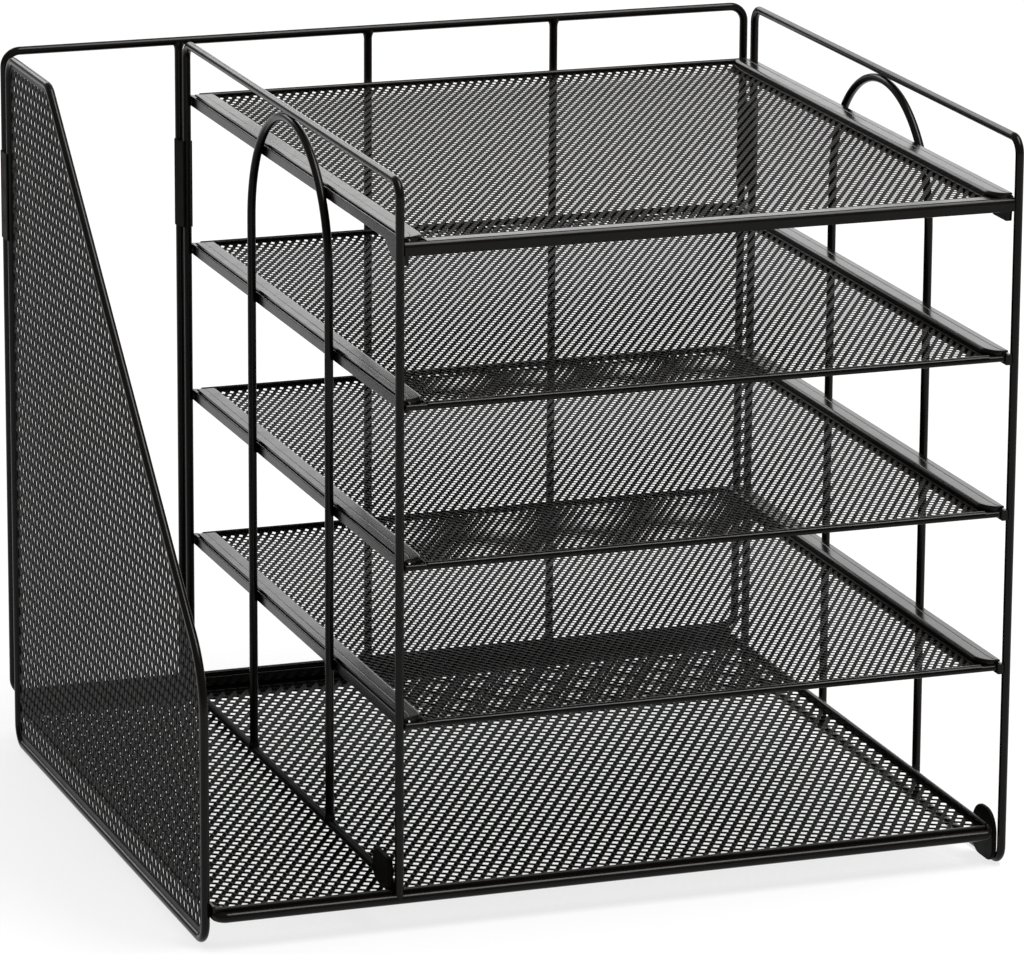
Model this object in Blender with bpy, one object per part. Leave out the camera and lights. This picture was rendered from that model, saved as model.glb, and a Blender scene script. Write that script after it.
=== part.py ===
"""Desk organizer of black wire and expanded steel: an upright file bay beside five tiers.

Three of the tiers are trays that slide out on fixed side rails. Lengths are in
millimetres and are turned into metres when a mesh is made. The front faces -Y.
"""

import math

import bmesh
import bpy
from mathutils import Vector
from mathutils.geometry import delaunay_2d_cdt

MM = 0.001

# Fits
GAP = 0.3

# Wire and sheet stock
WIRE_R = 1.9
ARCH_R = 1.9
TRAY_WIRE_R = 1.3
BASE_BAR_R = 2.3
BASE_RIM_R = 1.1
SHEET = 1.0
MESH_SHEET = 1.0
WIRE_SIDES = 10

# Clips that tie the back frame to the posts
CLIP_WALL = 0.55
CLIP_LENGTH = 40.0
CLIP_TOP_DROP = 45.25
CLIP_STEPS = 8
CLIP_MOUTH = 52.0

# Overall size, to the outer faces of the clips and the wires
OVERALL_WIDTH = 366.0
OVERALL_DEPTH = 318.0
OVERALL_HEIGHT = 326.0

# Middle planes of the frames
CLIP_REACH = WIRE_R + GAP + CLIP_WALL
RIGHT_X = OVERALL_WIDTH / 2 - CLIP_REACH
PANEL_X = -RIGHT_X
TIER_WIDTH = 277.0
DIVIDER_X = RIGHT_X - TIER_WIDTH
FRONT_Y = WIRE_R - OVERALL_DEPTH / 2
BACK_Y = OVERALL_DEPTH / 2 - CLIP_REACH
BACK_SHIFT = 6.5
POST_Y = BACK_Y - BACK_SHIFT
TOP_Z = OVERALL_HEIGHT - WIRE_R
DESK_Z = WIRE_R
CLIP_HIGH_Z = TOP_Z - CLIP_TOP_DROP
CLIP_LOW_Z = CLIP_HIGH_Z - CLIP_LENGTH

# Bends of the wire frames
BEND_R = 7.0
BEND_STEPS = 5

# Back frame
BACK_RAIL_Z = 22.0
LOOP_SIDE_SHIFT = 3.0
UPRIGHT_SHIFT = 1.7
UPRIGHT_PITCH = 90.5
UPRIGHTS = 3

# Arches inside the side frames, a little in front of the middle of the posts
ARCH_SPAN = 111.6
ARCH_SHIFT = 1.7
ARCH_STEPS = 14

# File bay side panel
PANEL_FRONT_SHIFT = 6.35
PANEL_BACK_SHIFT = 8.5
PANEL_FRONT_Y = FRONT_Y + PANEL_FRONT_SHIFT
PANEL_BACK_Y = BACK_Y - PANEL_BACK_SHIFT
PANEL_TOP_LENGTH = 67.5
PANEL_TOP_DROP = 1.3
PANEL_TOP_Z = TOP_Z - PANEL_TOP_DROP
PANEL_SLOPE_FOOT_Z = 118.4
PANEL_SLOPE_BEND_R = 45.0
PANEL_BEND_R = 9.0

# Base pan
BASE_BAR_Z = 14.5
BASE_FLOOR_Z = 15.5
BASE_RIM_Z = BASE_BAR_Z + BASE_BAR_R + GAP + BASE_RIM_R
BASE_WALL = 1.2
BASE_RIGHT_INSET = 6.0
BASE_BAR_END = 4.4
DIVIDER_RAIL_Z = BASE_FLOOR_Z + MESH_SHEET + GAP + WIRE_R

# Ear brackets at the front feet
EAR_THICK = 1.9
EAR_WIDTH = 23.0
EAR_RIGHT_FRONT = 1.0
EAR_RIGHT_FOOT_Z = 1.0
EAR_RIGHT_TOP_Z = 24.2
EAR_RIGHT_ROUND = 10.0
EAR_DIVIDER_FRONT = 4.2
EAR_DIVIDER_TOP_Z = 34.5
EAR_DIVIDER_ROUND = 8.0
EAR_STEPS = 6

# Tiers: flange height of the top shelf and the pitch below it
TOP_FLANGE_DROP = 23.0
TOP_FLANGE_Z = TOP_Z - TOP_FLANGE_DROP
TIER_PITCH = 69.0
FLANGE_INSET = 2.6
FLANGE_WIDTH = 9.4
WEB_DROP = 3.9
LEDGE_WIDTH = 3.5
FLANGE_CURVE = 9.0
FLANGE_FRONT_WIDTH = 3.4
CURVE_STEPS = 6
TIER_BACK_INSET = 3.5
TIER_BACK_Y = POST_Y - TIER_BACK_INSET
TIER_FRONT_DROP = 3.4
TIER_BACK_DROP = 1.0

# Fixed rails under the flanges
RAIL_THICK = 2.5
RAIL_HEIGHT = 4.8
TIER_WIRE_END = WIRE_R + RAIL_THICK + 2 * GAP
GUSSET_FRONT = 2.2
GUSSET_FLAT = 16.0
GUSSET_BACK = 26.0
GUSSET_DROP = 11.5

# Front strip of the top shelf
STRIP_HEIGHT = 5.8
STRIP_THICK = 2.4
STRIP_DROP = 2.1
STRIP_STEPS = 6

# Diamond pattern of the expanded steel, opened up to a coarse count
DIAMOND_ACROSS = 40.0
DIAMOND_ROW = 22.0
DIAMOND_SHARE = 0.8
MESH_BORDER = 5.0

# Powder coat
COAT = (0.013, 0.013, 0.014, 1.0)
WIRE_ROUGH = 0.38
SHEET_ROUGH = 0.33
MESH_ROUGH = 0.5


def clear_scene():
    for old in list(bpy.data.objects):
        bpy.data.objects.remove(old, do_unlink=True)


def coat(name, rough):
    material = bpy.data.materials.new(name + "_coat")
    material.use_nodes = True
    shader = material.node_tree.nodes["Principled BSDF"]
    shader.inputs["Base Color"].default_value = COAT
    shader.inputs["Roughness"].default_value = rough
    shader.inputs["Metallic"].default_value = 0.0
    return material


def finish(name, shape, rough, parent=None, smooth_angle=None):
    """Turns a bmesh in millimetres into a named object in metres."""
    bmesh.ops.recalc_face_normals(shape, faces=shape.faces)
    shift = parent.location if parent else Vector((0.0, 0.0, 0.0))
    for vert in shape.verts:
        vert.co = vert.co * MM - shift
    mesh = bpy.data.meshes.new(name)
    shape.to_mesh(mesh)
    shape.free()
    made = bpy.data.objects.new(name, mesh)
    bpy.context.scene.collection.objects.link(made)
    mesh.materials.append(coat(name, rough))
    if parent:
        made.parent = parent
    if smooth_angle:
        for face in mesh.polygons:
            face.use_smooth = True
        mesh.set_sharp_from_angle(angle=math.radians(smooth_angle))
    return made


def round_corners(points, radii):
    """A path through the points, with an arc of the given radius at each corner."""
    count = len(points)
    path = []
    for index, point in enumerate(points):
        radius = radii[index]
        if radius == 0.0:
            path.append(point.copy())
            continue
        before = (points[index - 1] - point).normalized()
        after = (points[(index + 1) % count] - point).normalized()
        half = before.angle(after) / 2
        reach = radius / math.tan(half)
        middle = point + (before + after).normalized() * (radius / math.sin(half))
        start = point + before * reach - middle
        end = point + after * reach - middle
        sweep = start.angle(end)
        for step in range(BEND_STEPS + 1):
            share = step / BEND_STEPS
            low = math.sin((1 - share) * sweep) / math.sin(sweep)
            high = math.sin(share * sweep) / math.sin(sweep)
            path.append(middle + start * low + end * high)
    return path


def tube(name, path, radius, normal, closed, parent=None):
    """A round wire along a path that lies in a plane with the given normal."""
    shape = bmesh.new()
    count = len(path)
    rings = []
    for index, point in enumerate(path):
        inward = None
        outward = None
        if closed or index > 0:
            inward = (point - path[index - 1]).normalized()
        if closed or index < count - 1:
            outward = (path[(index + 1) % count] - point).normalized()
        if inward is None:
            inward = outward
        if outward is None:
            outward = inward
        along = (inward + outward).normalized()
        side = along.cross(normal).normalized()
        stretch = 1.0 / max(along.dot(inward), 0.5)
        ring = []
        for step in range(WIRE_SIDES):
            angle = 2 * math.pi * step / WIRE_SIDES
            offset = side * (math.cos(angle) * radius * stretch)
            offset = offset + normal * (math.sin(angle) * radius)
            ring.append(shape.verts.new(point + offset))
        rings.append(ring)
    spans = count if closed else count - 1
    for index in range(spans):
        first = rings[index]
        second = rings[(index + 1) % count]
        for step in range(WIRE_SIDES):
            after = (step + 1) % WIRE_SIDES
            shape.faces.new((first[step], first[after], second[after], second[step]))
    if not closed:
        shape.faces.new(rings[0])
        shape.faces.new(list(reversed(rings[-1])))
    return finish(name, shape, WIRE_ROUGH, parent, 50)


def straight(name, start, end, radius, normal, parent=None):
    return tube(name, [Vector(start), Vector(end)], radius, normal, False, parent)


def plate(name, outline, holes, low, high, place, rough, parent=None, smooth_angle=None):
    """A flat plate with holes, given in two directions and placed by a function."""
    points = [Vector(point) for point in outline]
    loops = [list(range(len(points)))]
    for hole in holes:
        first = len(points)
        points.extend(Vector(point) for point in hole)
        loops.append(list(range(first, len(points))))
    flat = delaunay_2d_cdt(points, [], loops, 2, 1e-6)
    shape = bmesh.new()
    under = [shape.verts.new(place(point.x, point.y, low)) for point in flat[0]]
    over = [shape.verts.new(place(point.x, point.y, high)) for point in flat[0]]
    uses = {}
    for face in flat[2]:
        shape.faces.new([under[corner] for corner in reversed(face)])
        shape.faces.new([over[corner] for corner in face])
        for spot, corner in enumerate(face):
            after = face[(spot + 1) % len(face)]
            uses.setdefault(frozenset((corner, after)), []).append((corner, after))
    for runs in uses.values():
        if len(runs) == 1:
            corner, after = runs[0]
            shape.faces.new((under[corner], under[after], over[after], over[corner]))
    return finish(name, shape, rough, parent, smooth_angle)


def box(name, low, high, rough, parent=None):
    outline = [(low[0], low[1]), (high[0], low[1]), (high[0], high[1]), (low[0], high[1])]
    return plate(name, outline, [], low[2], high[2], lay_flat, rough, parent)


def lay_flat(across, back, up):
    return Vector((across, back, up))


def stand_side(back, up, across):
    return Vector((across, back, up))


def inside(point, outline):
    """True if a point lies inside a closed outline."""
    hit = False
    for index, end in enumerate(outline):
        start = outline[index - 1]
        if (start[1] > point[1]) != (end[1] > point[1]):
            share = (point[1] - start[1]) / (end[1] - start[1])
            if point[0] < start[0] + share * (end[0] - start[0]):
                hit = not hit
    return hit


def diamonds(outline, border):
    """Staggered diamond gaps, each at least a border inside the outline."""
    low_u = min(point[0] for point in outline)
    high_u = max(point[0] for point in outline)
    low_v = min(point[1] for point in outline)
    high_v = max(point[1] for point in outline)
    across = max(1, round((high_u - low_u - 2 * border) / DIAMOND_ACROSS))
    rows = max(1, round((high_v - low_v - 2 * border) / DIAMOND_ROW) - 1)
    pitch_u = (high_u - low_u - 2 * border) / across
    pitch_v = (high_v - low_v - 2 * border) / (rows + 1)
    half_u = pitch_u / 2 * DIAMOND_SHARE
    half_v = pitch_v * DIAMOND_SHARE
    gaps = []
    for row in range(rows):
        middle_v = low_v + border + (row + 1) * pitch_v
        shift = 0.5 if row % 2 == 0 else 1.0
        for column in range(across if row % 2 == 0 else across - 1):
            middle_u = low_u + border + (column + shift) * pitch_u
            gap = [
                (middle_u - half_u, middle_v),
                (middle_u, middle_v - half_v),
                (middle_u + half_u, middle_v),
                (middle_u, middle_v + half_v),
            ]
            reach = [
                (middle_u - half_u - border, middle_v),
                (middle_u, middle_v - half_v - border),
                (middle_u + half_u + border, middle_v),
                (middle_u, middle_v + half_v + border),
            ]
            if all(inside(point, outline) for point in reach):
                gaps.append(gap)
    return gaps


def rectangle(low_u, high_u, low_v, high_v):
    return [(low_u, low_v), (high_u, low_v), (high_u, high_v), (low_u, high_v)]


def make_back_frame():
    normal = Vector((0, 1, 0))
    right = RIGHT_X - LOOP_SIDE_SHIFT
    first = DIVIDER_X - UPRIGHT_SHIFT
    corners = [
        Vector((PANEL_X, BACK_Y, BACK_RAIL_Z)),
        Vector((right, BACK_Y, BACK_RAIL_Z)),
        Vector((right, BACK_Y, TOP_Z)),
        Vector((PANEL_X, BACK_Y, TOP_Z)),
    ]
    path = round_corners(corners, [BEND_R] * 4)
    tube("back_frame_loop", path, WIRE_R, normal, True)
    foot = BACK_RAIL_Z + WIRE_R + GAP
    head = TOP_Z - WIRE_R - GAP
    for index in range(UPRIGHTS):
        across = first + index * UPRIGHT_PITCH
        start = (across, BACK_Y, foot)
        end = (across, BACK_Y, head)
        straight("back_upright_%d" % (index + 1), start, end, WIRE_R, normal)


def make_arch(name, across, rail_z):
    """An inverted U that hangs from the top rail and stands on the lower rail."""
    half = ARCH_SPAN / 2
    middle = (FRONT_Y + POST_Y) / 2 - ARCH_SHIFT
    crown = TOP_Z - WIRE_R - ARCH_R - GAP - half
    foot = rail_z + WIRE_R + GAP
    path = [Vector((across, middle - half, foot))]
    for step in range(ARCH_STEPS + 1):
        angle = math.pi * (1 - step / ARCH_STEPS)
        back = middle + half * math.cos(angle)
        path.append(Vector((across, back, crown + half * math.sin(angle))))
    path.append(Vector((across, middle + half, foot)))
    tube(name, path, ARCH_R, Vector((1, 0, 0)), False)


def make_side_frames():
    normal = Vector((1, 0, 0))
    corners = [
        Vector((RIGHT_X, FRONT_Y, DESK_Z)),
        Vector((RIGHT_X, POST_Y, DESK_Z)),
        Vector((RIGHT_X, POST_Y, TOP_Z)),
        Vector((RIGHT_X, FRONT_Y, TOP_Z)),
    ]
    path = round_corners(corners, [BEND_R] * 4)
    tube("right_frame_loop", path, WIRE_R, normal, True)
    make_arch("right_arch", RIGHT_X, DESK_Z)
    foot = BASE_BAR_Z + BASE_BAR_R + GAP
    corners = [
        Vector((DIVIDER_X, FRONT_Y, foot)),
        Vector((DIVIDER_X, FRONT_Y, TOP_Z)),
        Vector((DIVIDER_X, POST_Y, TOP_Z)),
        Vector((DIVIDER_X, POST_Y, foot)),
    ]
    path = round_corners(corners, [0.0, BEND_R, BEND_R, 0.0])
    tube("divider_frame", path, WIRE_R, normal, False)
    start = (DIVIDER_X, FRONT_Y + 2 * BASE_BAR_R - WIRE_R + GAP, DIVIDER_RAIL_Z)
    end = (DIVIDER_X, POST_Y - BASE_BAR_R - GAP, DIVIDER_RAIL_Z)
    straight("divider_bottom_rail", start, end, WIRE_R, normal)
    make_arch("divider_arch", DIVIDER_X, DIVIDER_RAIL_Z)


def panel_corners(inset):
    """Corners of the file bay panel, drawn in from the wire's middle line."""
    crest = PANEL_BACK_Y - PANEL_TOP_LENGTH
    slope = Vector((crest - PANEL_FRONT_Y, PANEL_TOP_Z - PANEL_SLOPE_FOOT_Z))
    lean = slope.angle(Vector((0, 1)))
    rise = math.pi / 2 - lean
    foot_z = PANEL_SLOPE_FOOT_Z - inset * math.tan(lean / 2)
    top = crest + inset * math.tan(rise / 2)
    return [
        (PANEL_BACK_Y - inset, DESK_Z + inset),
        (PANEL_FRONT_Y + inset, DESK_Z + inset),
        (PANEL_FRONT_Y + inset, foot_z),
        (top, PANEL_TOP_Z - inset),
        (PANEL_BACK_Y - inset, PANEL_TOP_Z - inset),
    ]


def panel_path(inset):
    corners = [Vector((PANEL_X, back, up)) for back, up in panel_corners(inset)]
    bend = PANEL_BEND_R - inset
    radii = [bend, bend, PANEL_SLOPE_BEND_R - inset, bend, bend]
    return round_corners(corners, radii)


def make_file_panel():
    tube("file_panel_rim", panel_path(0.0), WIRE_R, Vector((1, 0, 0)), True)
    outline = [(point.y, point.z) for point in panel_path(WIRE_R + GAP)]
    half = MESH_SHEET / 2
    holes = diamonds(outline, MESH_BORDER)
    low = PANEL_X - half
    high = PANEL_X + half
    plate("file_panel_mesh", outline, holes, low, high, stand_side, MESH_ROUGH)


def make_base():
    normal = Vector((0, 1, 0))
    left = PANEL_X + WIRE_R + GAP
    right = RIGHT_X - BASE_RIGHT_INSET
    front = FRONT_Y + BASE_BAR_R - WIRE_R
    bar_right = RIGHT_X - BASE_BAR_END
    for name, back in (("base_front_bar", front), ("base_back_bar", POST_Y)):
        start = (left, back, BASE_BAR_Z)
        end = (bar_right, back, BASE_BAR_Z)
        straight(name, start, end, BASE_BAR_R, normal)
    floor_right = right - BASE_WALL / 2 - GAP
    outline = rectangle(left, floor_right, front + BASE_BAR_R + GAP, POST_Y - BASE_BAR_R - GAP)
    top = BASE_FLOOR_Z + MESH_SHEET
    holes = diamonds(outline, MESH_BORDER)
    plate("base_mesh", outline, holes, BASE_FLOOR_Z, top, lay_flat, MESH_ROUGH)
    wall_front = outline[0][1]
    wall_back = outline[2][1]
    rim_under = BASE_RIM_Z - BASE_RIM_R - GAP
    box(
        "base_right_wall",
        (right - BASE_WALL / 2, wall_front, BASE_FLOOR_Z),
        (right + BASE_WALL / 2, wall_back, rim_under),
        SHEET_ROUGH,
    )
    start = (right, front, BASE_RIM_Z)
    end = (right, POST_Y, BASE_RIM_Z)
    straight("base_right_rim", start, end, BASE_RIM_R, Vector((1, 0, 0)))
    box(
        "base_left_wall",
        (left, wall_front, top + GAP),
        (left + BASE_WALL, wall_back, BASE_RIM_Z + BASE_RIM_R),
        SHEET_ROUGH,
    )
    wall_face = POST_Y + BASE_BAR_R + GAP
    box(
        "base_back_wall",
        (left, wall_face, BASE_BAR_Z - BASE_BAR_R),
        (right, wall_face + BASE_WALL, BACK_RAIL_Z),
        SHEET_ROUGH,
    )


def ear_outline(front, low, high, bend):
    """An upright plate behind a front post, with all four corners rounded."""
    near = FRONT_Y + front + bend
    far = FRONT_Y + front + EAR_WIDTH - bend
    corners = [(far, high - bend), (near, high - bend), (near, low + bend), (far, low + bend)]
    outline = []
    for turn, (along, up) in enumerate(corners):
        for step in range(EAR_STEPS + 1):
            angle = math.pi / 2 * (turn + step / EAR_STEPS)
            outline.append((along + bend * math.cos(angle), up + bend * math.sin(angle)))
    return outline


def make_ears():
    outer = RIGHT_X - WIRE_R - GAP
    right = ear_outline(EAR_RIGHT_FRONT, EAR_RIGHT_FOOT_Z, EAR_RIGHT_TOP_Z, EAR_RIGHT_ROUND)
    plate("ear_right", right, [], outer - EAR_THICK, outer, stand_side, SHEET_ROUGH, None, 40)
    inner = DIVIDER_X - WIRE_R - GAP
    floor = BASE_FLOOR_Z + MESH_SHEET + GAP
    left = ear_outline(EAR_DIVIDER_FRONT, floor, EAR_DIVIDER_TOP_Z, EAR_DIVIDER_ROUND)
    plate("ear_divider", left, [], inner - EAR_THICK, inner, stand_side, SHEET_ROUGH, None, 40)


def arc(centre, radius, start, end):
    """Points along an arc about a centre, from one angle to another."""
    points = []
    for step in range(CLIP_STEPS + 1):
        angle = start + (end - start) * step / CLIP_STEPS
        points.append((centre.x + radius * math.cos(angle), centre.y + radius * math.sin(angle)))
    return points


def make_clip(name, first, second):
    """A sleeve round the second wire with an open mouth that snaps onto the first."""
    one = Vector(first)
    two = Vector(second)
    heading = math.atan2(two.y - one.y, two.x - one.x)
    bore = WIRE_R + GAP
    outer = bore + CLIP_WALL
    quarter = math.pi / 2
    lip = math.pi - math.radians(CLIP_MOUTH)
    outline = arc(two, outer, heading - quarter, heading + quarter)
    outline += arc(one, outer, heading + quarter, heading + lip)
    outline += arc(one, bore, heading + lip, heading - lip)
    outline += arc(one, outer, heading - lip, heading - quarter)
    hole = arc(two, bore, 0.0, 2 * math.pi)[:-1]
    plate(name, outline, [hole], CLIP_LOW_Z, CLIP_HIGH_Z, lay_flat, SHEET_ROUGH, None, 40)


def make_clips():
    make_clip("clip_left", (PANEL_X, PANEL_BACK_Y), (PANEL_X, BACK_Y))
    make_clip("clip_divider", (DIVIDER_X, POST_Y), (DIVIDER_X - UPRIGHT_SHIFT, BACK_Y))
    make_clip("clip_right", (RIGHT_X, POST_Y), (RIGHT_X - LOOP_SIDE_SHIFT, BACK_Y))


def tier_z(tier):
    return TOP_FLANGE_Z - (tier - 1) * TIER_PITCH


def make_fixed_rail(name, outer, inner, tier):
    """A flat strip on the inner side of two posts, which carries a tier's flange."""
    high = tier_z(tier) - SHEET - GAP
    low = high - RAIL_HEIGHT
    front = FRONT_Y - WIRE_R
    back = POST_Y + WIRE_R
    outline = [(back, high), (front, high), (front, low)]
    if tier == 1:
        drop = high - GUSSET_DROP
        outline.append((FRONT_Y + GUSSET_FRONT, drop))
        outline.append((FRONT_Y + GUSSET_FLAT, drop))
        outline.append((FRONT_Y + GUSSET_BACK, low))
    outline.append((back, low))
    plate(name, outline, [], min(outer, inner), max(outer, inner), stand_side, SHEET_ROUGH)


def make_fixed_rails():
    for tier in (1, 2, 3, 4):
        outer = DIVIDER_X + WIRE_R + GAP
        make_fixed_rail("rail_left_%d" % tier, outer, outer + RAIL_THICK, tier)
        outer = RIGHT_X - WIRE_R - GAP
        make_fixed_rail("rail_right_%d" % tier, outer, outer - RAIL_THICK, tier)


def make_tier_side(name, post_x, way, tier, parent):
    """A Z-section edge: flange on the rail, web, and a ledge that holds the mesh."""
    top = tier_z(tier)
    outer = post_x + way * FLANGE_INSET
    front = FRONT_Y + TRAY_WIRE_R + GAP
    back = TIER_BACK_Y - TRAY_WIRE_R - GAP
    stations = []
    for step in range(CURVE_STEPS + 1):
        angle = math.pi / 2 * step / CURVE_STEPS
        growth = (FLANGE_WIDTH - FLANGE_FRONT_WIDTH) * math.sin(angle)
        stations.append((front + FLANGE_CURVE * (1 - math.cos(angle)), FLANGE_FRONT_WIDTH + growth))
    stations.append((back, FLANGE_WIDTH))
    shape = bmesh.new()
    rings = []
    for along, width in stations:
        edge = outer + way * width
        section = [
            (outer, top),
            (edge, top),
            (edge, top - WEB_DROP),
            (edge + way * LEDGE_WIDTH, top - WEB_DROP),
            (edge + way * LEDGE_WIDTH, top - WEB_DROP - SHEET),
            (edge - way * SHEET, top - WEB_DROP - SHEET),
            (edge - way * SHEET, top - SHEET),
            (outer, top - SHEET),
        ]
        rings.append([shape.verts.new((across, along, up)) for across, up in section])
    for first, second in zip(rings, rings[1:]):
        for spot in range(len(first)):
            after = (spot + 1) % len(first)
            shape.faces.new((first[spot], first[after], second[after], second[spot]))
    for ring in (rings[0], rings[-1]):
        shape.faces.new((ring[0], ring[1], ring[6], ring[7]))
        shape.faces.new((ring[1], ring[2], ring[5], ring[6]))
        shape.faces.new((ring[2], ring[3], ring[4], ring[5]))
    finish(name, shape, SHEET_ROUGH, parent, 30)


def make_tier(prefix, tier, parent):
    """The two edges, the mesh floor and the back wire that every tier has."""
    top = tier_z(tier)
    make_tier_side(prefix + "_left_edge", DIVIDER_X, 1, tier, parent)
    make_tier_side(prefix + "_right_edge", RIGHT_X, -1, tier, parent)
    floor_z = top - WEB_DROP + GAP
    reach = FLANGE_INSET + FLANGE_WIDTH + GAP
    front = FRONT_Y + max(STRIP_THICK / 2, TRAY_WIRE_R) + GAP
    outline = rectangle(DIVIDER_X + reach, RIGHT_X - reach, front, TIER_BACK_Y + TRAY_WIRE_R)
    holes = diamonds(outline, MESH_BORDER)
    high = floor_z + MESH_SHEET
    plate(prefix + "_mesh", outline, holes, floor_z, high, lay_flat, MESH_ROUGH, parent)
    wire_z = top - TIER_BACK_DROP
    start = (DIVIDER_X + TIER_WIRE_END, TIER_BACK_Y, wire_z)
    end = (RIGHT_X - TIER_WIRE_END, TIER_BACK_Y, wire_z)
    straight(prefix + "_back_wire", start, end, TRAY_WIRE_R, Vector((0, 1, 0)), parent)


def make_top_shelf():
    make_tier("top_shelf", 1, None)
    high = tier_z(1) - STRIP_DROP
    half = STRIP_THICK / 2
    outline = [(FRONT_Y - half, high - STRIP_HEIGHT), (FRONT_Y + half, high - STRIP_HEIGHT)]
    for step in range(STRIP_STEPS + 1):
        angle = math.pi * step / STRIP_STEPS
        outline.append((FRONT_Y + half * math.cos(angle), high - half + half * math.sin(angle)))
    left = DIVIDER_X + TIER_WIRE_END
    right = RIGHT_X - TIER_WIRE_END
    plate("top_shelf_front_strip", outline, [], left, right, stand_side, SHEET_ROUGH, None, 40)


def make_trays():
    for tier in (2, 3, 4):
        prefix = "tray_%d" % tier
        slide = bpy.data.objects.new(prefix + "_slide", None)
        bpy.context.scene.collection.objects.link(slide)
        middle = (DIVIDER_X + RIGHT_X) / 2
        slide.location = Vector((middle, FRONT_Y, tier_z(tier))) * MM
        make_tier(prefix, tier, slide)
        wire_z = tier_z(tier) - TIER_FRONT_DROP
        start = (DIVIDER_X + TIER_WIRE_END, FRONT_Y, wire_z)
        end = (RIGHT_X - TIER_WIRE_END, FRONT_Y, wire_z)
        straight(prefix + "_front_wire", start, end, TRAY_WIRE_R, Vector((0, 1, 0)), slide)


clear_scene()
make_back_frame()
make_side_frames()
make_file_panel()
make_base()
make_ears()
make_clips()
make_fixed_rails()
make_top_shelf()
make_trays()
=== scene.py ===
"""The desk organizer dressed: smooth wires, folded sheet and fine expanded steel in black powder coat.

Lengths are in millimetres and turn into metres when a mesh is made. The front faces -Y.
"""
import math

import bmesh
import bpy
import numpy
from mathutils import Matrix, Vector


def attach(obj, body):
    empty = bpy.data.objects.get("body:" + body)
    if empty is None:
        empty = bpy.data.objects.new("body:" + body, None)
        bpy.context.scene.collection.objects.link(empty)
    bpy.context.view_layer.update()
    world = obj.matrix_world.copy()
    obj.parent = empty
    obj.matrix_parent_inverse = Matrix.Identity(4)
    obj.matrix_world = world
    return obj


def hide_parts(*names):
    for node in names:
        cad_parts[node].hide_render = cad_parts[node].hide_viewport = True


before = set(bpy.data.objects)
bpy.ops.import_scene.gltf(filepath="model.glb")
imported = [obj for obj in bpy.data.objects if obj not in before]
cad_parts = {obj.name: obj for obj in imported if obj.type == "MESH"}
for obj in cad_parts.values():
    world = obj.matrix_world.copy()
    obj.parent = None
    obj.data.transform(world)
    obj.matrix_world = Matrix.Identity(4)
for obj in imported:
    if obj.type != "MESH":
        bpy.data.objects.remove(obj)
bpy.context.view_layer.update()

MM = 0.001

# Stock and fits, as in the solids
GAP = 0.3
WIRE_R = 1.9
ARCH_R = 1.9
TRAY_WIRE_R = 1.3
BASE_BAR_R = 2.3
BASE_RIM_R = 1.1
SHEET = 1.0
MESH_SHEET = 1.0

# Frame and clips
RIGHT_X = 180.25
PANEL_X = -180.25
DIVIDER_X = -96.75
FRONT_Y = -157.1
BACK_Y = 156.25
POST_Y = 149.75
TOP_Z = 324.1
DESK_Z = 1.9
BEND_R = 7.0
BACK_RAIL_Z = 22.0
DIVIDER_RAIL_Z = 18.7
LOOP_SIDE_SHIFT = 3.0
UPRIGHT_SHIFT = 1.7
UPRIGHT_PITCH = 90.5
UPRIGHTS = 3
ARCH_SPAN = 111.6
ARCH_SHIFT = 1.7
ARCH_BEAD = (1.25, 4.2, 0.9)
CLIP_WALL = 0.45
CLIP_PLAY = 0.05
CLIP_HIGH_Z = 278.85
CLIP_LOW_Z = 238.85
CLIP_MOUTH = 52.0

# File bay panel
PANEL_FRONT_Y = -150.75
PANEL_BACK_Y = 147.75
PANEL_TOP_LENGTH = 67.5
PANEL_TOP_Z = 322.8
PANEL_SLOPE_FOOT_Z = 118.4
PANEL_SLOPE_BEND_R = 45.0
PANEL_BEND_R = 9.0
PANEL_LEAST_BEND = 0.4
PANEL_MESH_PAST = 0.5
PANEL_HEM = 2.2
PANEL_HEM_UNDER = 0.3
# The panel's hem grows wider at the foot: partly a solid border, partly a sheet that stands for the shade
# of the floor under the base, seen through the mesh.
PANEL_FOOT_HEM_AND_SHADE = 0.5

# Base: bars, floor mesh with its hem and front lip, low walls and right rim
BASE_BAR_Z = 14.5
BASE_BAR_END = 4.4
BASE_BAR_BEND = 4.0
BASE_FLOOR_Z = 15.5
BASE_FLOOR_UNDER = 0.6
BASE_MESH_PAST_LEFT = 1.0
BASE_MESH_PAST_RIGHT = 0.5
BASE_MESH_PAST_ENDS = 1.2
BASE_MESH_SHIFT = 0.5
BASE_CORNER_R = 15.0
BASE_LEAST_BEND = 0.6
BASE_HEM = 3.5
BASE_HEM_LEFT = 0.4
# The hem is wider on the right: partly a solid border, partly a sheet that stands for the shadow of the
# right wall and rim on the base.
BASE_HEM_RIGHT_AND_SHADE = 0.45
BASE_HEM_BACK = 0.5
BASE_LIP_FRONT = 1.4
BASE_LIP_BACK = 3.1
BASE_LIP_LOW = -0.7
BASE_LIP_HIGH = 2.4
BASE_LIP_EDGE = 0.4
BASE_WALL = 1.2
BASE_RIGHT_INSET = 6.0
BASE_RIGHT_WALL_EDGE = 0.25
BASE_RIM_Z = 18.2
BASE_RIM_BEND = 3.2

# Ears: set-back, low and high end, and the bends from the back top corner round by the front
EAR_THICK = 1.9
EAR_WIDTH = 23.0
EAR_EDGE = 0.8
EAR_RIGHT = (0.3, 1.0, 24.2, (10.0, 10.0, 7.0, 8.0))
EAR_DIVIDER = (1.6, 16.8, 32.0, (7.0, 4.0, 4.0, 7.0))

# Fixed rails
RAIL_THICK = 2.5
RAIL_HEIGHT = 4.8
RAIL_BITE = 0.1
RAIL_EDGE = 0.5
RAIL_BEAD = (0.7, 0.8, 1.9)
GUSSET_FRONT = 2.2
GUSSET_FLAT = 16.0
GUSSET_BACK = 26.0
GUSSET_DROP = 11.5

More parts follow.
